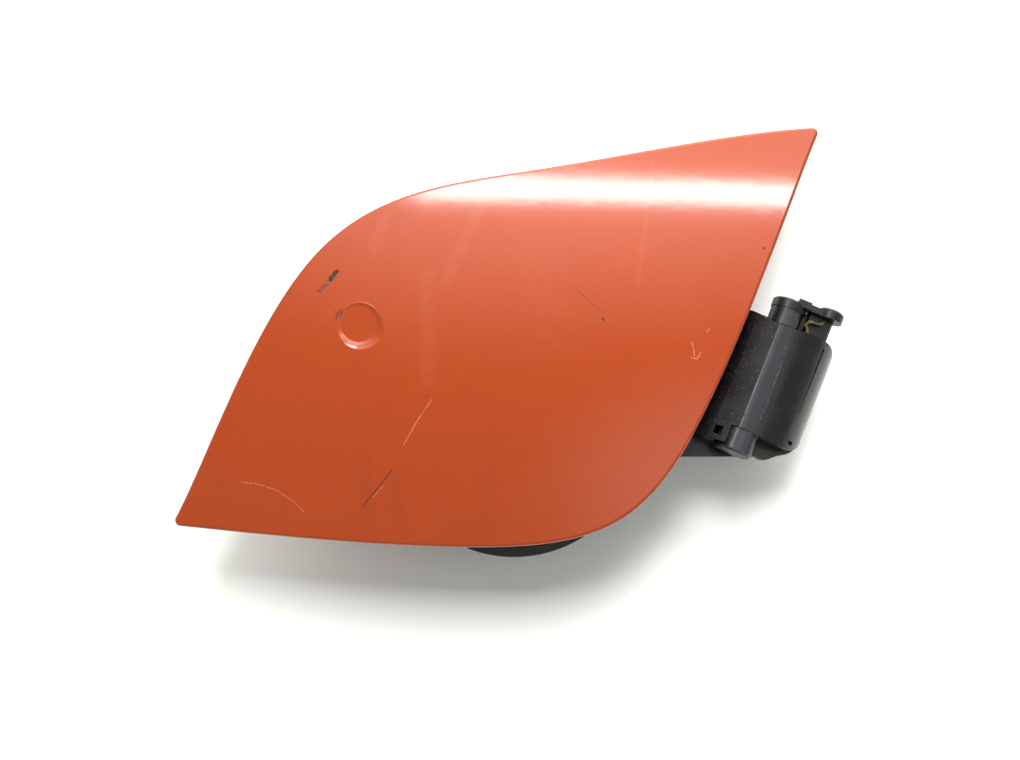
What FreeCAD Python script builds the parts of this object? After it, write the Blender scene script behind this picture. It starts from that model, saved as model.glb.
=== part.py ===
import FreeCAD, Part
import math
import os
from FreeCAD import Vector as V

os.makedirs("parts", exist_ok=True)

# Car fuel door on its filler pocket, in mm.
# +Y runs along the hinge pin, +Z is out of the car, and the origin is the
# bottom centre of the filler bore, where the filler neck comes up.

# Hinge pin
HX = 72.0                        # pin axis beside the filler bore
HZ = 44.0                        # pin axis above the foot of the bore
PIN_R = 2.0
PIN_PLAY = 0.06

# Hinge box along the pin
BOX_Y0 = 28.6
BOX_LONG = 40.0
END_WALL = 2.0
KNOB_LONG = 8.2
NECK_LONG = 5.0
CANOPY_LONG = 6.4
PIN_DEEP = 2.2                   # lower pin end inside the knob
PIN_PROUD = 1.6                  # upper pin end past the neck

# Gooseneck arm
ARM_R = 22.75                    # centre line of the C about the pin
ARM_T = 3.5
ARM_INSET_LOW = 2.4              # gap from the end wall to the C
ARM_INSET_HIGH = 3.6
BEND_R = 8.0                     # tight bend back up to the barrel
BEND_AT = -50.0                  # degrees round the pin where the tight bend starts
BEND_TO = 70.0                   # degrees where it ends
BARREL_WALL = 2.6
SLEEVE_WALL = 0.9
BARREL_INSET = 0.6
SPRING_ROOM = 7.0                # length of sleeve that the spring is wound on

# Hinge box across the pin
ARM_ROOM = 2.0                   # clearance round the C
BOX_WALL = 2.0
HOOD_GAP = 1.35
HOOD_WALL = 1.7
BARREL_GAP = 0.6
RIDGE_WALL = 2.5
CREST_R = 3.0
ROOF_REACH = 18.0                # free edge of the roof, from the pin axis
ROOF_DROP = 0.2
ROOF_T = 2.5
HIGH_CORNER = 5.0
LOW_CORNER = 7.0
KNOB_WALL = 4.6
NECK_WALL = 3.65
END_BEVEL_Z = 3.0                # where the bevel of the upper end starts, above the pin axis
END_BEVEL_RISE = 4.6
END_BEVEL_LONG = 2.0
CANOPY_SHARE = 0.8               # part of the roof's slope that the canopy continues
CANOPY_T = 2.0
HOOD_FOOT_SHARE = 0.52           # foot of the hood below the pin, in box radii
CREASE_AT = 55.0                 # degrees round the pin
CREST_X = -0.6
SLOT_OUT = 6.3                   # slot beside the knob, from the pin axis
SLOT_W = 2.6
SLOT_LONG = 3.1
SLOT_GAP = 1.5
SLIT_OUT = 16.4                  # tapered slit down the hood's shoulder
SLIT_W0 = 0.1
SLIT_W1 = 0.7
SLIT_Y0 = 13.2
SLIT_Y1 = 2.6
SLIT_DEEP = 1.4
NOTCH_OUT = 16.6                 # notch at the hood's lower corner
NOTCH_W = 1.6
NOTCH_Y = 2.0
NOTCH_LONG = 1.4
NOTCH_DEEP = 4.0
WINDOW_IN = 0.4                  # spring window, inside the post's edge
WINDOW_W = 2.4

# Door skin
LEAF_GAP = 13.5                  # edge of the skin from the pin axis
LEAF_LONG = 261.5                # control length of the leaf, tip to tip
LEAF_TURN = 54.6                 # degrees from +X to the long diagonal
CROWN_RISE = 16.0                # highest point of the skin above the pin axis
CROWN_ACROSS = 550.0             # skin radius across the leaf
CROWN_ALONG = 2000.0             # skin radius along the leaf
CROWN_TURN = 22.5                # degrees from +Y to the axis of the crown
SKIN_T = 2.4
FLANGE_T = 2.2
FLANGE_H = 8.0                   # from the outer face to the edge of the flange
EDGE_ROUND = 1.1
TIP_R = 2.0
DIMPLE_R = 7.6
DIMPLE_DEEP = 0.8

# Carrier plate under the skin
CARRIER_GAP = 7.0                # from the top of the crown to the plate
CARRIER_T = 2.2
CARRIER_R = 7.0                  # corners beside the gooseneck
CARRIER_TIP_R = 12.0             # corner round the striker pad
CARRIER_LOW_X = 55.2             # lower corner, from the latch
CARRIER_LOW_Y = -17.3
CARRIER_LOW_R = 9.0
BORDER_T = 1.8
BORDER_H = 1.8
RIB_T = 1.6
RIB_H = 2.4
GUSSET_LONG = 13.2
GUSSET_T = 2.4
CORNER_OUT = 0.75                # plate past the centre line of the gooseneck's leg
CARRIER_OVER = 2.0               # plate past the gooseneck on both sides
BORDER_IN = 0.2
SINK = 0.3                       # overlap where parts of one moulding join
RIB_END_X = 25.2                 # end of the long rib, from the latch
RIB_END_Y = 9.9
RIB_GAP = 2.5
SCREW_R = 1.4
SCREW_LONG = 3.2                 # past the plate
SCREW_HEAD_R = 3.6
SCREW_HEAD_H = 1.8
SCREW_PLAY = 0.2
BOSS_R = 3.3
SCREW_IN = 3.0                   # hinge-side screws, from the centres of the plate's corners
SCREW_LOW = 6.6                  # and from the ends of the gooseneck
SCREW_HIGH = 7.8
SCREW_NEAR_X = 21.2              # other screws, from the latch
SCREW_NEAR_Y = -3.3
SCREW_FAR_X = 47.2
SCREW_FAR_Y = 10.7

# Link over the pin end and the spring post
CAP_WALL = 4.0
CAP_LONG = 3.5
POST_X0 = 7.2                    # spring post, from the pin axis
POST_X1 = 16.2
POST_DEEP = 4.5
POST_TOP = 0.5
POST_LONG = 7.3
EYE_OUT = 14.4
EYE_R = 4.6
EYE_LONG = 3.5
WEB_H = 3.4
WEB_LONG = 2.2
TONGUE_H = 4.9
TONGUE_OUT = 6.6
TONGUE_LONG = 2.5
SMALL_BEVEL = 0.7

# Filler pocket
NECK_SEAL_R = 30.0
NECK_SEAL_WALL = 3.0
NECK_SEAL_LIP = 2.0
NECK_SEAL_LIP_H = 1.5
COLLAR_WALL = 4.0
FOOT_STEP = 1.6                  # bowl foot outside the collar
BOWL_FLARE = 4.0
FLOOR_Z = 6.0
WALL = 2.0
TRAY_DROP = 7.0                  # underside of the tray below the pin axis
RIM_RISE = 1.4                   # rim of the tray above the pin axis
TRAY_HINGE_OUT = 36.0            # tray corners beside the hinge box, from the pin axis
TRAY_LOW_Y = 11.4
TRAY_LOW_R = 18.0
TRAY_HIGH_Y = 10.6
TRAY_HIGH_R = 16.0
TRAY_LATCH_R = 18.0
MOUNT_Y = 24.0
MOUNT_IN = 4.6                   # mount holes inside the bowl's width
MOUNT_R = 2.75
MOUNT_PAD_R = 5.0
MOUNT_PAD_T = 1.5
FIN_COUNT = 8
FIN_T = 1.6
DRAIN_TURN = 205.0               # degrees round the bore
DRAIN_OUT = 4.4                  # spigot axis outside the bowl
DRAIN_R = 4.0
DRAIN_BORE = 2.5
DRAIN_Z0 = 2.0
DRAIN_LONG = 6.4                 # spigot below its knuckle
DRAIN_KNUCKLE = 0.8              # knuckle thicker than the spigot
DRAIN_STEP = 0.4                 # elbow inside the knuckle
BOWL_STEP = 0.2                  # bowl inside the tray's corner radius
SOCKET_DEEP = 8.0

# Seals
SEAL_T = 1.4
SEAL_DEEP = 5.4
SEAL_PROUD = 1.2
SEAL_LIP = 0.4
SEAL_GAP = 0.6                   # between the seal's ends and the hinge box
SKIRT_DROP = 9.4                 # underside of the skirt below the pin axis
SKIRT_T = 1.5
SKIRT_REACH = 33.4
SKIRT_TURN = 22.5
SKIRT_WAVE = [(8.6, -5.3), (12.4, -5.0), (15.4, -2.4), (18.6, -0.2), (20.4, 3.9)]
LIP_W = 1.1
LIP_H = 1.2

# Push-push latch under the dimple
LATCH_R = 11.0
LATCH_LONG = 32.0
LATCH_PLAY = 0.1
LATCH_FLANGE_R = 14.0
LATCH_FLANGE_T = 2.0
LATCH_NECK_R = 8.5
LATCH_WALL = 2.0
GASKET_T = 1.0
GASKET_IN = 0.5                  # gasket inside the flange
CHAMBER_R = 7.0
CHAMBER_TOP = 8.0                # chamber top below the top of the latch
LATCH_CAP_T = 3.0
PLUNGER_R = 5.9
PLUNGER_PLAY = 0.08
PLUNGER_LONG = 25.2
SHOULDER = 0.9
GROOVE_W = 4.4
FOLLOWER_LOW = 8.0               # bend of the follower above its foot
FOLLOWER_HIGH = 15.4             # its upper bend below the top of the latch
FOLLOWER_TIP = 13.8
SPRING_BORE = 4.6
SPRING_SEAT = 7.2                # closed top of the plunger
TIP_WALL = 0.6
TIP_T = 0.9
PAD_R = 8.0
PAD_T = 1.6
PAD_PROUD = 0.6
TOUCH = 0.1

# Springs
WIRE_R = 0.6
COIL_PLAY = 0.55
COIL_TURNS = 4
LATCH_WIRE_R = 0.45
LATCH_COIL_R = 3.7
LATCH_TURNS = 7
FOLLOWER_R = 0.5
COIL_START = 67.4                # degrees round the pin where the coil begins
COIL_LAST = 237.6                # degrees past the full turns
LEG_LONG = 6.9
# Free end past the end wall, from the window's middle: out, along the pin and up
SPRING_HOOK = [(0, 0.6, 0), (-0.6, 1.6, 0), (-1.5, 2.5, 0.2), (-1.1, 3.7, 0.5), (0.5, 4.4, 0.6),
               (2.3, 4.4, 0.4), (3.5, 4.9, 0.1), (3.9, 6.2, -0.3)]

# Rubber bumpers
BUMPER_R = 3.6
BUMPER_STEM = 2.2
BUMPER_BARB = 3.0
BUMPER_X = 14.2                  # first bumper, from the latch
BUMPER_Y = 11.2
BUMPER_HINGE_X = 46.0            # second bumper, from the pin axis and the end of the hinge box
BUMPER_HINGE_Y = 23.4

# Places worked out from the sizes above
FAR = 300.0                      # reach of a cut that goes right through
BOX_Y1 = BOX_Y0 + BOX_LONG
KNOB_Y0 = BOX_Y0 - KNOB_LONG
NECK_Y1 = BOX_Y1 + NECK_LONG
CANOPY_Y0 = BOX_Y0 - CANOPY_LONG
ARM_Y0 = BOX_Y0 + END_WALL + ARM_INSET_LOW
ARM_Y1 = BOX_Y1 - END_WALL - ARM_INSET_HIGH
BARREL_Y0 = BOX_Y0 + END_WALL + BARREL_INSET
BARREL_Y1 = ARM_Y1 - SPRING_ROOM
SLEEVE_Y1 = BOX_Y1 - END_WALL - BARREL_INSET
BARREL_R = PIN_R + BARREL_WALL
SLEEVE_R = PIN_R + SLEEVE_WALL
BARREL_ROOM = BARREL_R + BARREL_GAP
BOX_R = ARM_R + ARM_T / 2 + ARM_ROOM + BOX_WALL
LEG_X = HX - ARM_R

APEX_Z = HZ + CROWN_RISE
PLATE_Z1 = APEX_Z - CARRIER_GAP
PLATE_Z0 = PLATE_Z1 - CARRIER_T
TRAY_Z = HZ - TRAY_DROP
TRAY_FLOOR = TRAY_Z + WALL
RIM_Z = HZ + RIM_RISE
BORE_R = NECK_SEAL_R + NECK_SEAL_WALL
COLLAR_R = BORE_R + COLLAR_WALL
BOWL_FOOT_R = COLLAR_R + FOOT_STEP
BOWL_R = BOWL_FOOT_R + BOWL_FLARE
PAD_Z0 = PLATE_Z0 - PAD_PROUD
TIP_TOP = PAD_Z0 - TOUCH
PLUNGER_Z1 = TIP_TOP - TIP_T
PLUNGER_Z0 = PLUNGER_Z1 - PLUNGER_LONG
LATCH_Z0 = HZ - LATCH_LONG
COIL_R = SLEEVE_R + COIL_PLAY + WIRE_R


def turned(degrees, radius=1.0):
    a = math.radians(degrees)
    return V(radius * math.cos(a), radius * math.sin(a), 0)


LEAF_EDGE = V(HX - LEAF_GAP, (BOX_Y0 + BOX_Y1) / 2, 0)


def leaf_point(along, aside):
    """Point on the plan, in shares of the leaf's length from its edge beside the hinge."""
    return LEAF_EDGE + turned(LEAF_TURN, along * LEAF_LONG) + turned(LEAF_TURN + 90, aside * LEAF_LONG)


# Control points of the leaf: low side from tip to tip, then the high side back
TIP_LOW = leaf_point(-0.7179, 0.1968)
TIP_HIGH = leaf_point(0.2821, 0.1972)
LOW_POLES = [leaf_point(-0.6637, 0.1556), leaf_point(-0.3187, -0.1233), leaf_point(-0.1295, -0.1122),
             leaf_point(0.2314, 0.1668)]
HIGH_POLES = [leaf_point(0.1923, 0.2469), leaf_point(-0.0878, 0.3387), leaf_point(-0.3623, 0.4847),
              leaf_point(-0.6447, 0.2352)]
APEX = leaf_point(-0.2808, 0.1087) + V(0, 0, APEX_Z)
LATCH = leaf_point(-0.3814, 0.2905)

MOUNTS = [V(s * (BOWL_R - MOUNT_IN), MOUNT_Y, 0) for s in (-1, 1)]
CORNER_X = LEG_X + CORNER_OUT - CARRIER_R
CARRIER_LOW = LATCH + V(CARRIER_LOW_X, CARRIER_LOW_Y, 0)
SCREWS = [V(CORNER_X - SCREW_IN, ARM_Y0 + SCREW_LOW, 0), V(CORNER_X - SCREW_IN, ARM_Y1 - SCREW_HIGH, 0),
          CARRIER_LOW, LATCH + V(SCREW_NEAR_X, SCREW_NEAR_Y, 0), LATCH + V(SCREW_FAR_X, SCREW_FAR_Y, 0)]
BUMPERS = [LATCH + V(BUMPER_X, BUMPER_Y, 0), V(HX - BUMPER_HINGE_X, BOX_Y0 + BUMPER_HINGE_Y, 0)]
TRAY_CORNERS = [(V(0, 0, 0), BOWL_R), (V(HX - TRAY_HINGE_OUT, BOX_Y0 + TRAY_LOW_Y, 0), TRAY_LOW_R),
                (V(HX - TRAY_HINGE_OUT, BOX_Y1 - TRAY_HIGH_Y, 0), TRAY_HIGH_R), (LATCH, TRAY_LATCH_R)]


def cylinder(r, centre, z0, z1):
    return Part.makeCylinder(r, z1 - z0, V(centre.x, centre.y, z0))


def along_pin(r, x, z, y0, y1):
    return Part.makeCylinder(r, y1 - y0, V(x, y0, z), V(0, 1, 0))


def box(x0, x1, y0, y1, z0, z1):
    return Part.makeBox(x1 - x0, y1 - y0, z1 - z0, V(x0, y0, z0))


def prism(wire, z0, z1):
    face = Part.Face(wire)
    face.translate(V(0, 0, z0))
    return face.extrude(V(0, 0, z1 - z0))


def sweep_y(wire, y0, y1):
    """Outline about the pin axis, drawn in X and Z, swept along the pin."""
    face = Part.Face(wire)
    face.translate(V(HX, y0, HZ))
    return face.extrude(V(0, y1 - y0, 0))


def closed(points):
    return Part.makePolygon(points + [points[0]])


def arc(a, b, c):
    return Part.Arc(a, b, c).toShape()


def on_circle(radius, degrees):
    a = math.radians(degrees)
    return V(radius * math.cos(a), 0, radius * math.sin(a))


def hull(circles, grow=0.0):
    """Wire around circles listed counter-clockwise, grown by a margin."""
    normals = []
    count = len(circles)
    for i in range(count):
        c0, r0 = circles[i]
        c1, r1 = circles[(i + 1) % count]
        step = c1 - c0
        length = step.Length
        d = step * (1.0 / length)
        side = V(d.y, -d.x, 0)
        lean = (r0 - r1) / length
        normals.append(d * lean + side * math.sqrt(1.0 - lean * lean))
    edges = []
    for i in range(count):
        c, r = circles[i]
        r = r + grow
        first = normals[i - 1]
        last = normals[i]
        middle = first + last
        middle.normalize()
        if (first.x * last.y - first.y * last.x) < 0:
            middle = middle * -1.0
        edges.append(arc(c + first * r, c + middle * r, c + last * r))
        c1, r1 = circles[(i + 1) % count]
        edges.append(Part.makeLine(c + last * r, c1 + last * (r1 + grow)))
    return Part.Wire(edges)


def fuse(shapes):
    whole = shapes[0]
    for shape in shapes[1:]:
        whole = whole.fuse(shape)
    return whole.removeSplitter()


def edges_past_y(shape, y):
    return [e for e in shape.Edges if e.BoundBox.YMin > y]


def edges_above(shape, z):
    return [e for e in shape.Edges if e.BoundBox.ZMin > z]


def wire_along(points, radius):
    """Six-sided wire through the points, each ring square to the path."""
    rings = []
    aside = V(0.3, 0.2, 1.0)
    last = len(points) - 1
    for i in range(last + 1):
        heading = points[min(i + 1, last)] - points[max(i - 1, 0)]
        heading.normalize()
        aside = aside - heading * aside.dot(heading)
        aside.normalize()
        up = heading.cross(aside)
        ring = []
        for k in range(6):
            a = math.radians(60.0 * k)
            ring.append(points[i] + aside * (radius * math.cos(a)) + up * (radius * math.sin(a)))
        rings.append(ring)
    faces = [Part.Face(closed(rings[0])), Part.Face(closed(rings[last]))]
    for i in range(last):
        for k in range(6):
            n = (k + 1) % 6
            a, b = rings[i][k], rings[i][n]
            c, d = rings[i + 1][n], rings[i + 1][k]
            faces.append(Part.Face(closed([a, b, c])))
            faces.append(Part.Face(closed([a, c, d])))
    shell = Part.makeShell(faces)
    shell.sewShape()
    solid = Part.makeSolid(shell)
    if solid.Volume < 0:
        solid.reverse()
    return solid


def save(name, shape):
    if len(shape.Solids) == 1:
        shape = shape.Solids[0]
    shape.exportStep("parts/" + name + ".step")
    return shape


# Crown: a slab whose top follows the skin, lowered by a depth
CROWN_AXIS = turned(CROWN_TURN + 90)


def crown(depth):
    half = 0.73 * LEAF_LONG
    swing = math.degrees(0.94 * LEAF_LONG / CROWN_ALONG)
    bottom = 4 * FLANGE_H
    top_r = CROWN_ACROSS - depth
    drop = top_r - math.sqrt(top_r * top_r - half * half)
    peak = APEX - V(0, 0, depth)
    left = peak - CROWN_AXIS * half - V(0, 0, drop)
    right = peak + CROWN_AXIS * half - V(0, 0, drop)
    floor_left = left - V(0, 0, bottom)
    floor_right = right - V(0, 0, bottom)
    edges = [arc(left, peak, right), Part.makeLine(right, floor_right)]
    edges = edges + [Part.makeLine(floor_right, floor_left), Part.makeLine(floor_left, left)]
    face = Part.Face(Part.Wire(edges))
    hub = APEX - V(0, 0, CROWN_ALONG)
    face.rotate(hub, CROWN_AXIS, -swing)
    return face.revolve(hub, CROWN_AXIS, 2 * swing)


def outline(depth=0.0):
    """Leaf outline, its control polygon moved inwards by a depth."""
    ring = [TIP_LOW] + LOW_POLES + [TIP_HIGH] + HIGH_POLES
    moved = []
    for i in range(len(ring)):
        a = ring[i] - ring[i - 1]
        b = ring[(i + 1) % len(ring)] - ring[i]
        a.normalize()
        b.normalize()
        pa = ring[i] + V(-a.y, a.x, 0) * depth
        gap = V(-b.y, b.x, 0) * depth - V(-a.y, a.x, 0) * depth
        moved.append(pa + a * ((gap.x * b.y - gap.y * b.x) / (a.x * b.y - a.y * b.x)))
    low_count = len(LOW_POLES) + 2
    sides = []
    for poles in (moved[:low_count], moved[low_count - 1:] + [moved[0]]):
        curve = Part.BSplineCurve()
        curve.buildFromPolesMultsKnots(poles, [4, 1, 1, 4], [0.0, 1.0, 2.0, 3.0], False, 3)
        sides.append(curve.toShape())
    return Part.Wire(sides)


def at_tip(edge):
    around = edge.BoundBox
    return around.XLength < EDGE_ROUND and around.YLength < EDGE_ROUND and around.ZLength > FLANGE_H


def on_top_rim(edge):
    mid = edge.valueAt((edge.FirstParameter + edge.LastParameter) / 2)
    flat = mid - APEX
    across = flat.dot(CROWN_AXIS)
    along = flat.x * CROWN_AXIS.y - flat.y * CROWN_AXIS.x
    level = APEX.z - across * across / (2 * CROWN_ACROSS) - along * along / (2 * CROWN_ALONG)
    return abs(mid.z - level) < EDGE_ROUND / 2


def make_skin():
    """Painted skin, one moulding with its return flange, screw bosses and finger dimple."""
    low = APEX_Z - 4 * FLANGE_H
    block = prism(outline(), low, APEX_Z + FLANGE_H)
    block = block.makeFillet(TIP_R, [e for e in block.Edges if at_tip(e)])
    core = prism(outline(FLANGE_T), low, APEX_Z + FLANGE_H)
    cavity = core.common(crown(SKIN_T)).cut(crown(FLANGE_H * 1.4))
    skin = block.common(crown(0.0)).cut(crown(FLANGE_H)).cut(cavity).Solids[0]
    skin = skin.makeFillet(EDGE_ROUND, [e for e in skin.Edges if on_top_rim(e)])
    for spot in SCREWS:
        boss = cylinder(BOSS_R, spot, PLATE_Z1, APEX_Z).common(crown(SKIN_T * 0.8))
        skin = skin.fuse(boss)
        skin = skin.cut(cylinder(SCREW_R, spot, PLATE_Z1 - 1, PLATE_Z1 + SCREW_LONG + SCREW_PLAY))
    dish_r = (DIMPLE_R ** 2 + DIMPLE_DEEP ** 2) / (2 * DIMPLE_DEEP)
    offset = LATCH - V(APEX.x, APEX.y, 0)
    across = offset.dot(CROWN_AXIS)
    along = offset.x * CROWN_AXIS.y - offset.y * CROWN_AXIS.x
    level = APEX_Z - across ** 2 / (2 * CROWN_ACROSS) - along ** 2 / (2 * CROWN_ALONG)
    dish = Part.makeSphere(dish_r)
    dish.translate(LATCH + V(0, 0, level - DIMPLE_DEEP + dish_r))
    return skin.cut(dish)


# Hinge box outline about the pin axis, in X and Z
BEND = on_circle(ARM_R - BEND_R, BEND_AT)
HOOD_X = BEND.x + BEND_R + ARM_T / 2 + HOOD_GAP + HOOD_WALL
HOOD_FOOT = -HOOD_FOOT_SHARE * BOX_R
CREASE = on_circle(BARREL_ROOM + HOOD_WALL, CREASE_AT)
RIDGE = V(CREST_X, 0, BARREL_ROOM + RIDGE_WALL)
ROOF_EDGE = V(-ROOF_REACH, 0, -ROOF_DROP)


def box_profile(inner):
    """Outer or inner outline of the hinge box."""
    if inner:
        r = BOX_R - BOX_WALL
        hood_x = HOOD_X - HOOD_WALL
        top = V(CREASE.x, 0, CREASE.z - HOOD_WALL)
        roof = V(-ROOF_REACH - 1.5, 0, -ROOF_DROP - ROOF_T)
    else:
        r = BOX_R
        hood_x = HOOD_X
        top = CREASE
        roof = ROOF_EDGE
    foot = V(hood_x, 0, HOOD_FOOT)
    landing = V(hood_x, 0, -math.sqrt(r * r - hood_x * hood_x))
    lip = V(roof.x, 0, TRAY_FLOOR - HZ)
    left = V(-math.sqrt(r * r - lip.z * lip.z), 0, lip.z)
    reach = hood_x - top.x
    rise = top.z - foot.z
    mid = V(top.x + reach * math.sqrt(0.5), 0, foot.z + rise * math.sqrt(0.5))
    near_top = V(top.x + reach * 0.342, 0, foot.z + rise * 0.94)
    hood = Part.BSplineCurve()
    near_foot = V(top.x + reach * 0.94, 0, foot.z + rise * 0.342)
    hood.interpolate([foot, near_foot, mid, near_top, top])
    edges = [arc(left, on_circle(r, -120), landing), Part.makeLine(landing, foot), hood.toShape()]
    if inner:
        start = on_circle(BARREL_ROOM, 45)
        end = on_circle(BARREL_ROOM, 118)
        edges.append(Part.makeLine(top, start))
        edges.append(arc(start, on_circle(BARREL_ROOM, 80), end))
    else:
        down_left = roof - RIDGE
        down_right = top - RIDGE
        down_left.normalize()
        down_right.normalize()
        turn = math.acos(down_left.dot(down_right)) / 2
        start = RIDGE + down_right * (CREST_R / math.tan(turn))
        end = RIDGE + down_left * (CREST_R / math.tan(turn))
        inward = down_left + down_right
        inward.normalize()
        edges.append(Part.makeLine(top, start))
        edges.append(arc(start, RIDGE + inward * (CREST_R / math.sin(turn) - CREST_R), end))
    edges.append(Part.makeLine(end, roof))
    edges.append(Part.makeLine(roof, lip))
    edges.append(Part.makeLine(lip, left))
    return Part.Wire(edges)


def plan_block(x1, y0, y1, low_corner, high_corner):
    """Upright block with its two right corners rounded."""
    block = box(HX - FAR, x1, y0, y1, -FAR, FAR)
    for y, radius in ((y0, low_corner), (y1, high_corner)):
        edges = [e for e in block.Edges if e.BoundBox.ZLength > FAR and e.BoundBox.XMin > x1 - TOUCH
                 and abs(e.BoundBox.YMin - y) < TOUCH and e.BoundBox.YLength < TOUCH]
        block = block.makeFillet(radius, edges)
    return block


def make_shell():
    """Outside of the hinge box with its knob, neck, canopy and spring post."""
    shell = sweep_y(box_profile(False), BOX_Y0, BOX_Y1)
    shell = shell.common(plan_block(HX + HOOD_X, BOX_Y0, BOX_Y1, LOW_CORNER, HIGH_CORNER))
    bevel_y = BOX_Y1 - END_BEVEL_LONG
    bevel_z = HZ + END_BEVEL_Z
    bevel = closed([V(0, BOX_Y1, bevel_z), V(0, bevel_y, bevel_z + END_BEVEL_RISE), V(0, bevel_y, HZ + FAR),
                    V(0, BOX_Y1, HZ + FAR)])
    bevel = Part.Face(bevel)
    bevel.translate(V(HX - FAR, 0, 0))
    shell = shell.cut(bevel.extrude(V(2 * FAR, 0, 0)))
    canopy_top = ROOF_EDGE + (RIDGE - ROOF_EDGE) * CANOPY_SHARE
    under = V(0, 0, CANOPY_T)
    canopy = closed([ROOF_EDGE, canopy_top, canopy_top - under, ROOF_EDGE - under])
    canopy = sweep_y(canopy, CANOPY_Y0, BOX_Y0 + TOUCH)
    knob = along_pin(PIN_R + KNOB_WALL, HX, HZ, KNOB_Y0, BOX_Y0 + END_WALL / 2)
    knob = knob.makeChamfer(SMALL_BEVEL, [e for e in knob.Edges if e.BoundBox.YMax < KNOB_Y0 + TOUCH])
    neck = along_pin(PIN_R + NECK_WALL, HX, HZ, BOX_Y1 - END_WALL / 2, NECK_Y1)
    post = box(HX + POST_X0, HX + POST_X1, BOX_Y1 - END_WALL / 2, BOX_Y1 + POST_LONG,
               HZ - POST_DEEP, HZ + POST_TOP)
    post = post.makeChamfer(SMALL_BEVEL, [e for e in post.Edges if e.BoundBox.YLength > POST_LONG])
    return [shell, canopy, knob, neck, post]


def make_fin(degrees):
    """Stiffening fin down the outside of the bowl."""
    profile = closed([V(BOWL_FOOT_R - 1, 0, FLOOR_Z), V(BOWL_FOOT_R + FOOT_STEP, 0, FLOOR_Z),
                      V(BOWL_R, 0, TRAY_Z - TRAY_DROP), V(BOWL_R, 0, TRAY_FLOOR - WALL / 2),
                      V(BOWL_R - WALL, 0, TRAY_FLOOR - WALL / 2)])
    fin = Part.Face(profile)
    fin.translate(V(0, -FIN_T / 2, 0))
    fin = fin.extrude(V(0, FIN_T, 0))
    fin.rotate(V(0, 0, 0), V(0, 0, 1), degrees)
    return fin


DRAIN = turned(DRAIN_TURN, BOWL_R + DRAIN_OUT)
DRAIN_Z = DRAIN_Z0 + DRAIN_LONG + DRAIN_R + DRAIN_STEP


def drain_arm(radius, length):
    """Level tube from the drain's knuckle towards the bowl."""
    return Part.makeCylinder(radius, length, DRAIN + V(0, 0, DRAIN_Z), DRAIN * -1.0)


def make_outside():
    """Outside of the pocket, still solid."""
    tray = prism(hull(TRAY_CORNERS), TRAY_Z, RIM_Z)
    bowl = Part.makeCone(BOWL_FOOT_R, BOWL_R - BOWL_STEP, TRAY_Z - FLOOR_Z, V(0, 0, FLOOR_Z))
    collar = cylinder(COLLAR_R, V(0, 0, 0), 0, FLOOR_Z + WALL / 2)
    socket = cylinder(LATCH_R + LATCH_WALL, LATCH, TRAY_Z - SOCKET_DEEP, TRAY_Z + WALL / 2)
    pads = [cylinder(MOUNT_PAD_R, spot, TRAY_Z - MOUNT_PAD_T, TRAY_FLOOR) for spot in MOUNTS]
    fins = [make_fin(360.0 * (i + 0.5) / FIN_COUNT) for i in range(FIN_COUNT)]
    knuckle_z0 = DRAIN_Z0 + DRAIN_LONG
    spigot = cylinder(DRAIN_R, DRAIN, DRAIN_Z0, knuckle_z0 + WALL)
    knuckle = cylinder(DRAIN_R + DRAIN_KNUCKLE, DRAIN, knuckle_z0, 2 * DRAIN_Z - knuckle_z0)
    elbow = drain_arm(DRAIN_R, DRAIN_OUT + 2 * WALL + BOWL_FLARE)
    return fuse([tray, bowl, collar, socket, spigot, knuckle, elbow] + pads + fins + make_shell())


def box_openings():
    """Slot beside the knob, slit down the hood's shoulder, notch at its corner, window for the spring."""
    y = BOX_Y0 - SLOT_GAP
    slot = box(HX - SLOT_OUT - SLOT_W, HX - SLOT_OUT, y - SLOT_LONG, y, HZ, HZ + FAR)
    y0 = BOX_Y0 + SLIT_Y0
    y1 = BOX_Y1 - SLIT_Y1
    slit = closed([V(-SLIT_W0 / 2, y0, 0), V(SLIT_W0 / 2, y0, 0), V(SLIT_W1 / 2, y1, 0), V(-SLIT_W1 / 2, y1, 0)])
    slit = prism(slit, HZ - SLIT_DEEP, HZ + FAR)
    slit.translate(V(HX + SLIT_OUT, 0, 0))
    notch = box(HX + NOTCH_OUT, HX + NOTCH_OUT + NOTCH_W, BOX_Y0 + NOTCH_Y, BOX_Y0 + NOTCH_Y + NOTCH_LONG,
                HZ - NOTCH_DEEP, HZ + FAR)
    x = HX + POST_X0 + WINDOW_IN
    z = HZ + POST_TOP
    window = box(x, x + WINDOW_W, BOX_Y1 - END_WALL - 1, BOX_Y1 + 1, z, z + WINDOW_W)
    return [slot, slit, notch, window]


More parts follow.
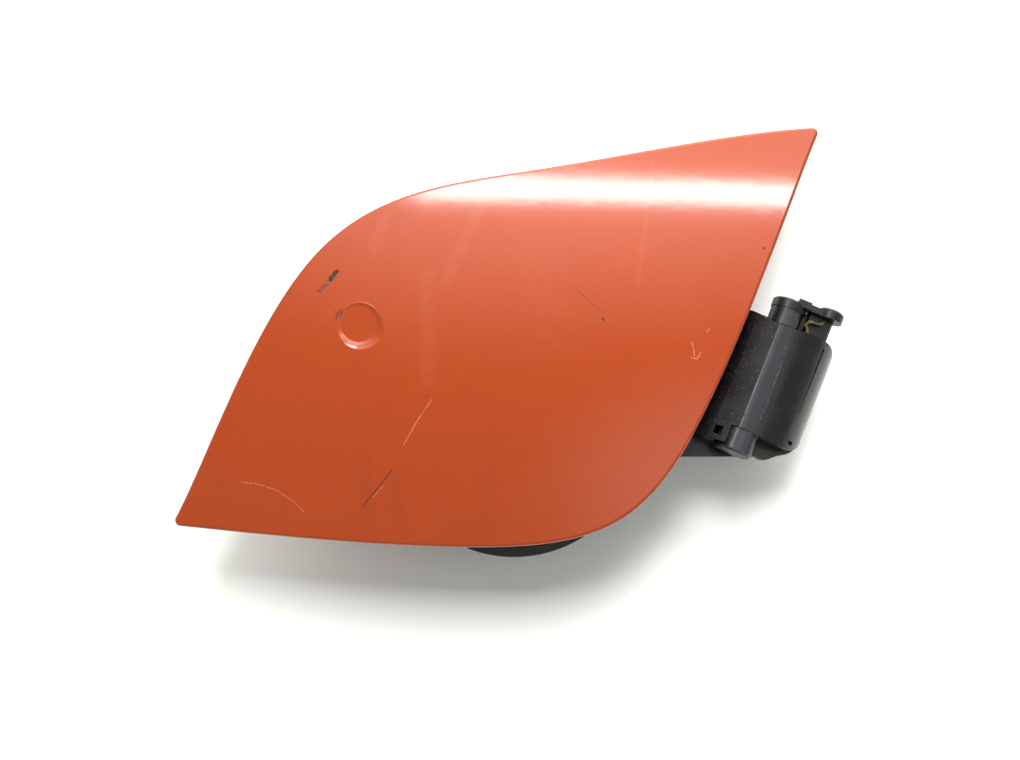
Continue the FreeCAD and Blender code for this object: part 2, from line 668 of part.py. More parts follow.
def make_pocket():
    """Tray, bowl, collar, hinge box, latch socket and drain, one moulding."""
    bowl = Part.makeCone(BOWL_FOOT_R - WALL, BOWL_R - BOWL_STEP - WALL, TRAY_FLOOR - FLOOR_Z - WALL,
                         V(0, 0, FLOOR_Z + WALL))
    tray = prism(hull(TRAY_CORNERS, -WALL), TRAY_FLOOR, RIM_Z + 1)
    tray = tray.cut(box(HX - ROOF_REACH, HX, BOX_Y0, BOX_Y1, TRAY_Z, FAR))
    pocket = make_outside().cut(tray).cut(bowl).cut(cylinder(BORE_R, V(0, 0, 0), -1, FLOOR_Z + 2 * WALL))
    y0 = BOX_Y0 + END_WALL
    y1 = BOX_Y1 - END_WALL
    corners = plan_block(HX + HOOD_X - BOX_WALL, y0, y1, LOW_CORNER - BOX_WALL, HIGH_CORNER - BOX_WALL)
    room = sweep_y(box_profile(True), y0, y1).common(corners)
    mouth = box(HX - BOX_R - TOUCH, HX - ROOF_REACH, y0, y1, TRAY_FLOOR, HZ + FAR)
    pocket = pocket.cut(room.fuse(mouth))
    pocket = pocket.cut(cylinder(LATCH_R + LATCH_PLAY, LATCH, 0, TRAY_FLOOR + WALL))
    pocket = pocket.cut(cylinder(DRAIN_BORE, DRAIN, 0, DRAIN_Z))
    pocket = pocket.cut(drain_arm(DRAIN_BORE, DRAIN_OUT + 4 * WALL + BOWL_FLARE))
    for spot in MOUNTS:
        pocket = pocket.cut(cylinder(MOUNT_R, spot, TRAY_Z - TRAY_DROP, RIM_Z))
    for spot in BUMPERS:
        pocket = pocket.cut(cylinder(BUMPER_STEM, spot, TRAY_Z - WALL, RIM_Z))
    pocket = pocket.cut(along_pin(PIN_R, HX, HZ, KNOB_Y0 + PIN_DEEP, NECK_Y1 + 1))
    for opening in box_openings():
        pocket = pocket.cut(opening)
    return pocket


def make_arm():
    """Barrel, gooseneck and carrier plate, one moulding."""
    half = ARM_T / 2
    leg_top = PLATE_Z0 + CARRIER_T / 4 - HZ

    def side(grow):
        """One side of the C, from the top of the leg to the barrel."""
        r = ARM_R + grow
        start = V(-r, 0, leg_top)
        bend = BEND_R + grow
        end = BEND + on_circle(bend, BEND_TO)
        back = on_circle(1.0, BEND_TO + 90)
        inside = end + back * (end.x / -back.x)
        turn = on_circle(r, BEND_AT)
        return [Part.makeLine(start, V(-r, 0, 0)), arc(V(-r, 0, 0), on_circle(r, (BEND_AT - 180) / 2), turn),
                arc(turn, BEND + on_circle(bend, (BEND_AT + BEND_TO) / 2), end), Part.makeLine(end, inside)]

    outer = side(half)
    inner = side(-half)
    edges = outer + [Part.makeLine(outer[-1].Vertexes[-1].Point, inner[-1].Vertexes[-1].Point)]
    edges = edges + inner + [Part.makeLine(inner[0].Vertexes[0].Point, outer[0].Vertexes[0].Point)]
    gooseneck = sweep_y(Part.Wire(Part.__sortEdges__(edges)), ARM_Y0, ARM_Y1)
    corners = [(V(CORNER_X, ARM_Y0 + CARRIER_R - CARRIER_OVER, 0), CARRIER_R),
               (V(CORNER_X, ARM_Y1 - CARRIER_R + CARRIER_OVER, 0), CARRIER_R),
               (LATCH, CARRIER_TIP_R), (CARRIER_LOW, CARRIER_LOW_R)]
    plate = prism(hull(corners), PLATE_Z0, PLATE_Z1)
    border = prism(hull(corners, -BORDER_IN), PLATE_Z1 - SINK, PLATE_Z1 + BORDER_H)
    border = border.cut(prism(hull(corners, -BORDER_IN - BORDER_T), PLATE_Z1 - SINK, PLATE_Z1 + BORDER_H + 1))
    barrel = along_pin(BARREL_R, HX, HZ, BARREL_Y0, BARREL_Y1)
    under = PLATE_Z0 + SINK - HZ
    gusset = closed([V(half * 0.7 - ARM_R, 0, SINK), V(half * 0.7 - ARM_R, 0, under),
                     V(-ARM_R - GUSSET_LONG, 0, under), V(-ARM_R - half, 0, SINK)])
    middle = (ARM_Y0 + ARM_Y1 - GUSSET_T) / 2
    gussets = [sweep_y(gusset, y, y + GUSSET_T) for y in (ARM_Y0, middle, ARM_Y1 - GUSSET_T)]

    def rib(a, b):
        run = b - a
        run.normalize()
        out = V(-run.y, run.x, 0) * (RIB_T / 2)
        return prism(closed([a - out, b - out, b + out, a + out]), PLATE_Z0 - RIB_H, PLATE_Z0 + SINK)

    long_a = V(LEG_X - half, middle + GUSSET_T / 2, 0)
    long_b = LATCH + V(RIB_END_X, RIB_END_Y, 0)
    short_b = CARRIER_LOW + V(0, SCREW_HEAD_R + RIB_GAP, 0)
    ribs = [rib(long_a, long_b), rib((long_a + long_b) * 0.5, short_b)]
    arm = fuse([gooseneck, plate, border, barrel] + gussets + ribs)
    arm = arm.cut(along_pin(BARREL_ROOM, HX, HZ, BARREL_Y1, ARM_Y1 + 1))
    arm = arm.fuse(along_pin(SLEEVE_R, HX, HZ, BARREL_Y1 - 1, SLEEVE_Y1))
    arm = arm.cut(along_pin(PIN_R + PIN_PLAY, HX, HZ, -FAR, FAR))
    for spot in SCREWS:
        arm = arm.cut(cylinder(SCREW_R + SCREW_PLAY, spot, 0, APEX_Z))
    return arm.cut(cylinder(PAD_R, LATCH, 0, PAD_Z0 + PAD_T))


def make_screw(spot):
    head = cylinder(SCREW_HEAD_R, spot, PLATE_Z0 - SCREW_HEAD_H, PLATE_Z0)
    return head.fuse(cylinder(SCREW_R, spot, PLATE_Z0, PLATE_Z1 + SCREW_LONG)).removeSplitter()


def make_body_seal():
    seal = prism(hull(TRAY_CORNERS, SEAL_T), RIM_Z - SEAL_DEEP, RIM_Z + SEAL_PROUD)
    seal = seal.cut(prism(hull(TRAY_CORNERS), 0, RIM_Z))
    seal = seal.cut(prism(hull(TRAY_CORNERS, -WALL - SEAL_LIP), 0, FAR))
    return seal.cut(box(HX - BOX_R + SEAL_GAP, HX, BOX_Y0 - SEAL_GAP, BOX_Y1 + SEAL_GAP, 0, FAR))


def make_neck_seal():
    centre = V(0, 0, 0)
    seat = FLOOR_Z + WALL
    lip = cylinder(BORE_R + NECK_SEAL_LIP, centre, seat, seat + NECK_SEAL_LIP_H)
    ring = cylinder(BORE_R, centre, 0, seat).fuse(lip).removeSplitter()
    return ring.cut(cylinder(NECK_SEAL_R, centre, -1, FAR))


def make_skirt():
    """Soft lip under the hinge box, straight beside the door and waved round the corner."""
    z = HZ - SKIRT_DROP
    corner = V(HX, BOX_Y0, 0)
    slope = math.tan(math.radians(SKIRT_TURN))
    wave = [corner + V(x, y, 0) for x, y in SKIRT_WAVE]
    start = wave[0] - V(SKIRT_REACH, SKIRT_REACH * slope, 0)
    inside = [p + V(-LIP_W * 0.4, LIP_W, 0) for p in wave[:3]]
    inside = inside + [p + V(-LIP_W, LIP_W * 0.4, 0) for p in wave[3:]]
    inner_start = V(start.x, inside[0].y - (inside[0].x - start.x) * slope, 0)
    back = wave[-1] + V(0, BOX_LONG / 4, 0)
    front_edges = [Part.makeLine(start, wave[0]), smooth(wave)]
    edges = front_edges + [Part.makeLine(wave[-1], back), Part.makeLine(back, V(start.x, back.y, 0)),
                           Part.makeLine(V(start.x, back.y, 0), start)]
    skirt = prism(Part.Wire(edges), z, z + SKIRT_T)
    edges = front_edges + [Part.makeLine(wave[-1], inside[-1]), smooth(list(reversed(inside))),
                           Part.makeLine(inside[0], inner_start), Part.makeLine(inner_start, start)]
    skirt = skirt.fuse(prism(Part.Wire(edges), z, z + SKIRT_T + LIP_H)).removeSplitter()
    skirt = skirt.cut(cylinder(BOWL_R + SEAL_GAP, V(0, 0, 0), 0, FAR))
    return skirt.cut(plan_block(HX + HOOD_X, BOX_Y0, BOX_Y1, LOW_CORNER, HIGH_CORNER))


def smooth(points):
    curve = Part.BSplineCurve()
    curve.interpolate(points)
    return curve.toShape()


def make_link():
    """Figure-eight cap over the pin's end and the spring post."""
    post_end = BOX_Y1 + POST_LONG
    cap = along_pin(PIN_R + CAP_WALL, HX, HZ, NECK_Y1, NECK_Y1 + CAP_LONG)
    cap = cap.makeChamfer(SMALL_BEVEL, edges_past_y(cap, NECK_Y1 + CAP_LONG - TOUCH))
    eye = along_pin(EYE_R, HX + EYE_OUT, HZ, post_end, post_end + EYE_LONG)
    eye = eye.makeChamfer(SMALL_BEVEL, edges_past_y(eye, post_end + EYE_LONG - TOUCH))
    web = box(HX + PIN_R, HX + EYE_OUT, post_end + TOUCH, post_end + TOUCH + WEB_LONG, HZ - WEB_H, HZ + WEB_H)
    tongue = box(HX + PIN_R, HX + TONGUE_OUT, post_end, post_end + TONGUE_LONG, HZ - TONGUE_H, HZ + TONGUE_H)
    link = fuse([cap, eye, web, tongue])
    return link.cut(along_pin(PIN_R, HX, HZ, NECK_Y1 - 1, NECK_Y1 + PIN_PROUD + TOUCH))


def make_hinge_spring():
    """Coil on the sleeve, one leg on the arm and one out through the end wall to the post."""
    coil_y0 = BARREL_Y1 + COIL_PLAY + WIRE_R
    coil_y1 = SLEEVE_Y1 - 2 * WIRE_R
    start = on_circle(COIL_R, COIL_START)
    lead = on_circle(1.0, COIL_START - 90)
    steps = 8 * COIL_TURNS + 4
    path = [start + lead * LEG_LONG + V(0, coil_y0, 0), start + lead * (LEG_LONG / 4) + V(0, coil_y0, 0)]
    for i in range(steps + 1):
        share = i / float(steps)
        spot = on_circle(COIL_R, COIL_START + (360.0 * COIL_TURNS + COIL_LAST) * share)
        path.append(spot + V(0, coil_y0 + (coil_y1 - coil_y0) * share, 0))
    out = V(POST_X0 + WINDOW_IN + WINDOW_W / 2, 0, POST_TOP + WINDOW_W / 2)
    path = path + [spot + V(2.1, coil_y1 + 0.2, 2.4), out + V(-0.5, coil_y1 + 0.5, -1.1)]
    path = path + [out + V(0, BOX_Y1 - 1.8, 0)]
    path = path + [out + V(x, BOX_Y1 + y, z) for x, y, z in SPRING_HOOK]
    return wire_along([p + V(HX, 0, HZ) for p in path], WIRE_R)


def make_latch_parts():
    """Body, cap, gasket, plunger, soft tip, wire follower and spring."""
    top = TRAY_FLOOR + GASKET_T + LATCH_FLANGE_T
    body = cylinder(LATCH_R, LATCH, LATCH_Z0 + LATCH_CAP_T, TRAY_FLOOR + GASKET_T)
    body = body.fuse(cylinder(LATCH_FLANGE_R, LATCH, TRAY_FLOOR + GASKET_T, top))
    body = body.fuse(cylinder(LATCH_NECK_R, LATCH, top, HZ)).removeSplitter()
    body = body.cut(cylinder(CHAMBER_R, LATCH, 0, HZ - CHAMBER_TOP))
    save("latch_body", body.cut(cylinder(PLUNGER_R + PLUNGER_PLAY, LATCH, 0, FAR)))
    cap = cylinder(LATCH_R, LATCH, LATCH_Z0, LATCH_Z0 + LATCH_CAP_T)
    cap = cap.cut(cylinder(CHAMBER_R, LATCH, LATCH_Z0 + LATCH_WALL, FAR))
    save("latch_cap", cap)
    gasket = cylinder(LATCH_FLANGE_R - GASKET_IN, LATCH, TRAY_FLOOR, TRAY_FLOOR + GASKET_T)
    save("latch_gasket", gasket.cut(cylinder(LATCH_R, LATCH, 0, FAR)))
    plunger = cylinder(PLUNGER_R, LATCH, PLUNGER_Z0, PLUNGER_Z1)
    shoulder = cylinder(PLUNGER_R + SHOULDER, LATCH, PLUNGER_Z0, PLUNGER_Z0 + LATCH_WALL)
    plunger = plunger.fuse(shoulder).removeSplitter()
    plunger = plunger.cut(cylinder(SPRING_BORE, LATCH, 0, PLUNGER_Z1 - SPRING_SEAT))
    groove = box(PLUNGER_R - 1.0, PLUNGER_R + 2, -GROOVE_W / 2, GROOVE_W / 2, 0, PLUNGER_Z1 - SPRING_SEAT - 1)
    groove.translate(LATCH)
    save("latch_plunger", plunger.cut(groove))
    tip = cylinder(PLUNGER_R + TIP_WALL, LATCH, PLUNGER_Z1 - 2.0, TIP_TOP)
    tip = tip.makeChamfer(TIP_WALL * 0.8, edges_above(tip, TIP_TOP - TOUCH))
    save("latch_tip", tip.cut(cylinder(PLUNGER_R, LATCH, 0, PLUNGER_Z1)))
    foot = LATCH_Z0 + LATCH_WALL + TOUCH
    ledge = CHAMBER_R - FOLLOWER_R - 0.2
    follow = [V(ledge, 0, foot), V(ledge, 0, foot + FOLLOWER_LOW), V(ledge, 0, HZ - FOLLOWER_HIGH),
              V(PLUNGER_R - 0.3, 0, HZ - FOLLOWER_TIP)]
    save("latch_follower", wire_along([p + LATCH for p in follow], FOLLOWER_R))
    z0 = foot + LATCH_WIRE_R
    z1 = PLUNGER_Z1 - SPRING_SEAT - LATCH_WIRE_R - TOUCH
    steps = 7 * LATCH_TURNS
    coil = []
    for i in range(steps + 1):
        spot = turned(360.0 * i / 7, LATCH_COIL_R)
        coil.append(LATCH + spot + V(0, 0, z0 + (z1 - z0) * i / steps))
    save("latch_spring", wire_along(coil, LATCH_WIRE_R))


def make_bumper(spot):
    stem = cylinder(BUMPER_STEM, spot, TRAY_Z, TRAY_FLOOR)
    head = cylinder(BUMPER_R, spot, TRAY_FLOOR, PLATE_Z0 - TOUCH)
    barb = Part.makeCone(BUMPER_BARB, BUMPER_STEM * 0.8, BUMPER_BARB, V(spot.x, spot.y, TRAY_Z), V(0, 0, -1))
    return stem.fuse(head).fuse(barb).removeSplitter()


save("door_skin", make_skin())
save("filler_pocket", make_pocket())
save("hinge_arm", make_arm())
save("arm_screws", Part.makeCompound([make_screw(spot) for spot in SCREWS]))
save("striker_pad", cylinder(PAD_R, LATCH, PAD_Z0, PAD_Z0 + PAD_T))
save("body_seal", make_body_seal())
save("neck_seal", make_neck_seal())
save("hinge_skirt", make_skirt())
save("hinge_pin", along_pin(PIN_R, HX, HZ, KNOB_Y0 + PIN_DEEP, NECK_Y1 + PIN_PROUD))
save("pin_link", make_link())
save("hinge_spring", make_hinge_spring())
make_latch_parts()
save("rim_bumpers", Part.makeCompound([make_bumper(spot) for spot in BUMPERS]))
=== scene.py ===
import math

import bmesh
import bpy
from mathutils import Matrix, Vector


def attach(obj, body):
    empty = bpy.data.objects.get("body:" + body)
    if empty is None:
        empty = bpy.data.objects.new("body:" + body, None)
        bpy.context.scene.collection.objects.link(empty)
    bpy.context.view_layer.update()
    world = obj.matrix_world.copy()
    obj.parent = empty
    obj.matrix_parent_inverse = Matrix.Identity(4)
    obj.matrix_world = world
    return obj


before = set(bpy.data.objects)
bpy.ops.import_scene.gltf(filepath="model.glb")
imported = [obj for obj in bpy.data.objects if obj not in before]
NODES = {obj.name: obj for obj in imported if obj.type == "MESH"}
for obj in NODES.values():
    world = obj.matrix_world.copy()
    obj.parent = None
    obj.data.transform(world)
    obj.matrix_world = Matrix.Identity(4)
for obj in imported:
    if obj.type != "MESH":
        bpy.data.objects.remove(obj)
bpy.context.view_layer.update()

# Camera, as the photograph: nearly straight down, the hinge pin turned clockwise in the picture
PICTURE_WIDTH = 1020
PICTURE_HEIGHT = 760
PIN_TURN = math.radians(22.5)
TILT = math.radians(8.0)
FIELD = math.radians(40.0)
EYE = Vector((0.01812, -0.04730, 0.52146))
SENSOR = 36.0
NEAR_CLIP = 0.01
RIGHT = Vector((math.cos(PIN_TURN), math.sin(PIN_TURN), 0.0))
AWAY = Vector((-math.sin(PIN_TURN), math.cos(PIN_TURN), 0.0))
UP = Vector((0.0, 0.0, 1.0))
VIEW_UP = AWAY * math.cos(TILT) + UP * math.sin(TILT)
VIEW_BACK = UP * math.cos(TILT) - AWAY * math.sin(TILT)

camera_data = bpy.data.cameras.new("camera")
camera_data.sensor_width = SENSOR
camera_data.lens = SENSOR / 2 / math.tan(FIELD / 2)
camera_data.clip_start = NEAR_CLIP
camera = bpy.data.objects.new("camera", camera_data)
turn = Matrix((RIGHT, VIEW_UP, VIEW_BACK)).transposed().to_4x4()
camera.matrix_world = Matrix.Translation(EYE) @ turn
bpy.context.scene.collection.objects.link(camera)
bpy.context.scene.camera = camera

# Mark edges: share of the width that is solid, how ragged the edge is and how fine
MARK_CORE = 0.35
MARK_RAGGED = 1.6
MARK_GRAIN = 900.0


class Nodes:
    """Short-hand for building one material's node tree."""

    def __init__(self, name):
        self.material = bpy.data.materials.new(name)
        self.material.use_nodes = True
        self.tree = self.material.node_tree
        self.shader = self.tree.nodes["Principled BSDF"]
        self.place = self.tree.nodes.new("ShaderNodeTexCoord").outputs["Object"]

    def link(self, source, target):
        if isinstance(source, (int, float, tuple)):
            target.default_value = source
        else:
            self.tree.links.new(source, target)

    def math(self, operation, a, b=0.0):
        node = self.tree.nodes.new("ShaderNodeMath")
        node.operation = operation
        self.link(a, node.inputs[0])
        self.link(b, node.inputs[1])
        return node.outputs[0]

    def noise(self, scale, detail=3.0, roughness=0.5, stretch=(1.0, 1.0, 1.0)):
        node = self.tree.nodes.new("ShaderNodeTexNoise")
        node.inputs["Scale"].default_value = scale
        node.inputs["Detail"].default_value = detail
        node.inputs["Roughness"].default_value = roughness
        mapping = self.tree.nodes.new("ShaderNodeMapping")
        mapping.inputs["Scale"].default_value = stretch
        self.link(self.place, mapping.inputs["Vector"])
        self.link(mapping.outputs[0], node.inputs["Vector"])
        return node.outputs["Fac"]

    def cells(self, scale):
        """A number from 0 to 1 that differs from cell to cell."""
        node = self.tree.nodes.new("ShaderNodeTexVoronoi")
        node.inputs["Scale"].default_value = scale
        self.link(self.place, node.inputs["Vector"])
        split = self.tree.nodes.new("ShaderNodeSeparateColor")
        self.link(node.outputs["Color"], split.inputs[0])
        return split.outputs[0]

    def ramp(self, value, low, high, out_low=0.0, out_high=1.0):
        node = self.tree.nodes.new("ShaderNodeMapRange")
        node.interpolation_type = "SMOOTHSTEP"
        self.link(value, node.inputs["Value"])
        node.inputs["From Min"].default_value = low
        node.inputs["From Max"].default_value = high
        node.inputs["To Min"].default_value = out_low
        node.inputs["To Max"].default_value = out_high
        return node.outputs["Result"]

    def mix(self, amount, a, b):
        node = self.tree.nodes.new("ShaderNodeMix")
        node.data_type = "RGBA"
        self.link(amount, node.inputs["Factor"])
        self.link(a, node.inputs["A"])
        self.link(b, node.inputs["B"])
        return node.outputs["Result"]

    def axes(self):
        node = self.tree.nodes.new("ShaderNodeSeparateXYZ")
        self.link(self.place, node.inputs[0])
        return node.outputs

    def upward(self):
        """How far the piece's own surface faces up, from -1 to 1."""
        node = self.tree.nodes.new("ShaderNodeSeparateXYZ")
        self.link(self.tree.nodes.new("ShaderNodeTexCoord").outputs["Normal"], node.inputs[0])
        return node.outputs["Z"]

    def length(self, a, b):
        """Length of a plan vector."""
        return self.math("SQRT", self.math("ADD", self.math("MULTIPLY", a, a), self.math("MULTIPLY", b, b)))

    def stroke(self, start, end, width):
        """1 on a straight stroke between two points in plan, 0 past its ragged edge."""
        x, y, _ = self.axes()
        dx, dy = end[0] - start[0], end[1] - start[1]
        length = math.hypot(dx, dy)
        ux, uy = dx / length, dy / length
        px = self.math("SUBTRACT", x, start[0])
        py = self.math("SUBTRACT", y, start[1])
        along = self.math("ADD", self.math("MULTIPLY", px, ux), self.math("MULTIPLY", py, uy))
        across = self.math("SUBTRACT", self.math("MULTIPLY", px, uy), self.math("MULTIPLY", py, ux))
        middle = self.math("ABSOLUTE", self.math("SUBTRACT", along, length / 2))
        past = self.math("MAXIMUM", self.math("SUBTRACT", middle, length / 2), 0.0)
        ragged = self.math("SUBTRACT", self.noise(MARK_GRAIN, 3.0, 0.6), 0.5)
        gap = self.math("ADD", self.length(past, across), self.math("MULTIPLY", ragged, width * MARK_RAGGED))
        return self.ramp(gap, width * MARK_CORE, width, 1.0, 0.0)

    def strokes(self, points, width):
        """1 on a line of strokes."""
        total = 0.0
        for start, end in zip(points, points[1:]):
            total = self.math("MAXIMUM", total, self.stroke(start, end, width))
        return total

    def bump(self, height, strength, distance, base=None):
        node = self.tree.nodes.new("ShaderNodeBump")
        node.inputs["Strength"].default_value = strength
        node.inputs["Distance"].default_value = distance
        self.link(height, node.inputs["Height"])
        if base:
            self.link(base, node.inputs["Normal"])
        return node.outputs["Normal"]

    def set(self, **values):
        names = {"color": "Base Color", "rough": "Roughness", "metal": "Metallic", "coat": "Coat Weight",
                 "coat_rough": "Coat Roughness", "normal": "Normal", "coat_normal": "Coat Normal",
                 "specular": "Specular IOR Level"}
        for key, value in values.items():
            self.link(value, self.shader.inputs[names[key]])
        return self.material


def picture(px, py, height):
    """Point in plan that a pixel of the photograph shows, at a height."""
    focal = PICTURE_WIDTH / 2 / math.tan(FIELD / 2)
    ray = RIGHT * (px - PICTURE_WIDTH / 2) - VIEW_UP * (py - PICTURE_HEIGHT / 2) - VIEW_BACK * focal
    spot = EYE + ray * ((height - EYE.z) / ray.z)
    return (spot.x, spot.y)


def seen_on(height, pixels):
    return [picture(px, py, height) for px, py in pixels]


# Chips, scratches and darker and paler streaks on the paint: pixels of the photograph joined by strokes,
# then the width in metres
SKIN_Z = 0.0585
DARK_CHIPS = [([(330, 279), (336, 271)], 0.0011), ([(765, 246), (766, 247)], 0.0005),
              ([(602, 319), (604, 321)], 0.0004)]
FADED_CHIPS = [([(319, 292), (326, 284), (332, 277)], 0.0010), ([(337, 318), (341, 311)], 0.0012),
               ([(330, 309), (331, 310)], 0.0004)]
DARK_SCRATCHES = [([(363, 506), (378, 488), (392, 470)], 0.0004), ([(571, 285), (603, 314)], 0.00018)]
LIGHT_SCRATCHES = [([(241, 482), (258, 484), (276, 490), (293, 501), (304, 512)], 0.00022),
                   ([(373, 497), (383, 486)], 0.00020), ([(404, 445), (417, 422), (432, 400)], 0.00022),
                   ([(692, 342), (694, 351), (694, 357)], 0.00028),
                   ([(691, 358), (697, 359), (701, 352)], 0.00028),
                   ([(707, 332), (709, 329)], 0.00025)]
# Streaks where the paint is drawn darker
DARK_STREAKS = [([(366, 458), (366, 531)], 0.0030), ([(392, 472), (401, 534)], 0.0034),
           ([(457, 529), (488, 541)], 0.0050), ([(494, 464), (486, 530)], 0.0036)]
# Streaks where the paint is drawn paler, with a touch of the bare colour
PALE_STREAKS = [([(427, 276), (428, 380)], 0.0036), ([(482, 199), (445, 283)], 0.0030),
                ([(385, 215), (372, 250)], 0.0028), ([(638, 284), (656, 150)], 0.0012)]
CHIP_COLOR = (0.020, 0.011, 0.008, 1)
DARK_STREAK_COLOR = (0.16, 0.035, 0.016, 1)
BARE_COLOR = (0.85, 0.42, 0.30, 1)

# Paint: flake and cloud colours, and their sizes as waves per metre
FLAKE_DARK = (0.300, 0.0385, 0.0055, 1)
FLAKE_PALE = (0.352, 0.0490, 0.0075, 1)
CLOUD_COLOR = (0.255, 0.034, 0.008, 1)
FLAKE_SCALE = 4200.0
GRIT_SCALE = 1400.0
PEEL_SCALE = 300.0
RUB_SCALE = 260.0
PAINT_CLOUD_SCALE = 38.0
PAINT_ROUGH = 0.46
CHIP_ROUGH = 0.2

# Finger dimple: flat floor inside a rounded rim, in metres
DIMPLE = picture(359, 324, SKIN_Z)
DIMPLE_R = 0.0076
DIMPLE_FLOOR_R = 0.0060
DIMPLE_DISH = 0.0008
DIMPLE_DEEP = 0.00045
MILLIMETRE = 0.001


def dimple_normal(n, top):
    """Turns the modelled round dish into a flat floor with a narrow rim."""
    x, y, _ = n.axes()
    radius = n.length(n.math("SUBTRACT", x, DIMPLE[0]), n.math("SUBTRACT", y, DIMPLE[1]))
    share = n.math("MINIMUM", n.math("DIVIDE", radius, DIMPLE_R), 1.0)
    undo = n.math("MULTIPLY", n.math("SUBTRACT", 1.0, n.math("MULTIPLY", share, share)), DIMPLE_DISH)
    flat = n.ramp(radius, DIMPLE_FLOOR_R, DIMPLE_R, -DIMPLE_DEEP, 0.0)
    height = n.math("MULTIPLY", n.math("ADD", undo, flat), top)
    return n.bump(n.math("DIVIDE", height, MILLIMETRE), 1.0, MILLIMETRE)


def paint():
    """Metallic orange under a clear coat, with its flake, orange peel, chips, scratches and darker and paler
    streaks.
    """
    n = Nodes("orange_paint")
    top = n.ramp(n.upward(), 0.0, 0.3)
    grit = n.noise(GRIT_SCALE, 3.0, 0.6)
    rub = n.noise(RUB_SCALE, 4.0, 0.7)

    def marks(rows, strength):
        total = 0.0
        for pixels, width in rows:
            total = n.math("MAXIMUM", total, n.strokes(seen_on(SKIN_Z, pixels), width))
        return n.math("MULTIPLY", n.math("MULTIPLY", total, top), strength)

    chips = marks(DARK_CHIPS, n.ramp(grit, 0.25, 0.42))
    faded = marks(FADED_CHIPS, n.ramp(grit, 0.30, 0.65, 0.1, 0.75))
    dark = n.math("MAXIMUM", n.math("MAXIMUM", chips, faded), marks(DARK_SCRATCHES, 0.6))
    pale = marks(LIGHT_SCRATCHES, n.ramp(grit, 0.35, 0.60, 0.05, 0.30))
    dark_streak = marks(DARK_STREAKS, n.ramp(rub, 0.35, 0.70, 0.04, 0.20))
    streak = marks(PALE_STREAKS, n.ramp(rub, 0.35, 0.70, 0.01, 0.035))

    color = n.mix(n.cells(FLAKE_SCALE), FLAKE_DARK, FLAKE_PALE)
    color = n.mix(n.ramp(n.noise(PAINT_CLOUD_SCALE, 4.0, 0.6), 0.35, 0.7, 0.0, 0.10), color, CLOUD_COLOR)
    color = n.mix(dark_streak, color, DARK_STREAK_COLOR)
    color = n.mix(streak, color, BARE_COLOR)
    color = n.mix(dark, color, CHIP_COLOR)
    color = n.mix(pale, color, BARE_COLOR)

    rim = dimple_normal(n, top)
    peel = n.bump(n.noise(PEEL_SCALE, 2.0), 0.03, 0.0004, rim)
    peel = n.bump(n.math("SUBTRACT", 1.0, n.math("MAXIMUM", dark, pale)), 0.35, 0.0002, peel)
    rough = n.math("ADD", PAINT_ROUGH, n.math("MULTIPLY", dark, CHIP_ROUGH))
    return n.set(color=color, rough=rough, metal=0.35, specular=0.0, normal=rim,
                 coat=1.0, coat_rough=0.09, coat_normal=peel)


# Black plastics: waves per metre, and the colour of settled dust
PLASTIC_GRAIN_SCALE = 1500.0
PLASTIC_CLOUD_SCALE = 90.0
DUST_COLOR = (0.10, 0.095, 0.090, 1)


def black_plastic(name="black_plastic", shade=0.0045, rough=0.30):
    """Moulded black plastic with a fine grain and a little settled dust on what faces up."""
    n = Nodes(name)
    cloud = n.noise(PLASTIC_CLOUD_SCALE, 4.0, 0.6)
    dust = n.math("MULTIPLY", n.ramp(n.upward(), 0.35, 0.95), n.ramp(cloud, 0.35, 0.7, 0.1, 0.5))
    deep = (shade, shade, shade * 1.05, 1)
    pale = (shade * 1.6, shade * 1.6, shade * 1.8, 1)
    color = n.mix(n.ramp(cloud, 0.35, 0.75), deep, pale)
    color = n.mix(n.math("MULTIPLY", dust, 0.10), color, DUST_COLOR)
    return n.set(color=color, rough=n.math("ADD", rough, n.math("MULTIPLY", dust, 0.15)), specular=0.5,
                 normal=n.bump(n.noise(PLASTIC_GRAIN_SCALE, 2.0), 0.05, 0.0002))


# Hinge box: specks on the roof beside the door, a painted reflection as a paler band along the ridge,
# dust caught along the crease and a faint step across the ridge
HINGE_Z = 0.049
CREST_X = 0.0705
# Where the painted sheen along the ridge ends, and how fast it fades
SHEEN_X = 0.0750
SHEEN_FADE = 0.002
CREASE = [(788, 337), (779, 370), (760, 421)]
CREASE_WIDTH = 0.0006
CREASE_SCALE = 900.0
RIDGE_STEP = [(741, 415), (762, 422)]
STEP_WIDTH = 0.0003
HINGE_DEEP = (0.0028, 0.0031, 0.0040, 1)
HINGE_PALE = (0.0050, 0.0053, 0.0066, 1)
# Colour of the painted sheen along the ridge
RIDGE_SHEEN_COLOR = (0.075, 0.070, 0.082, 1)
SPECK_COLOR = (0.24, 0.19, 0.14, 1)


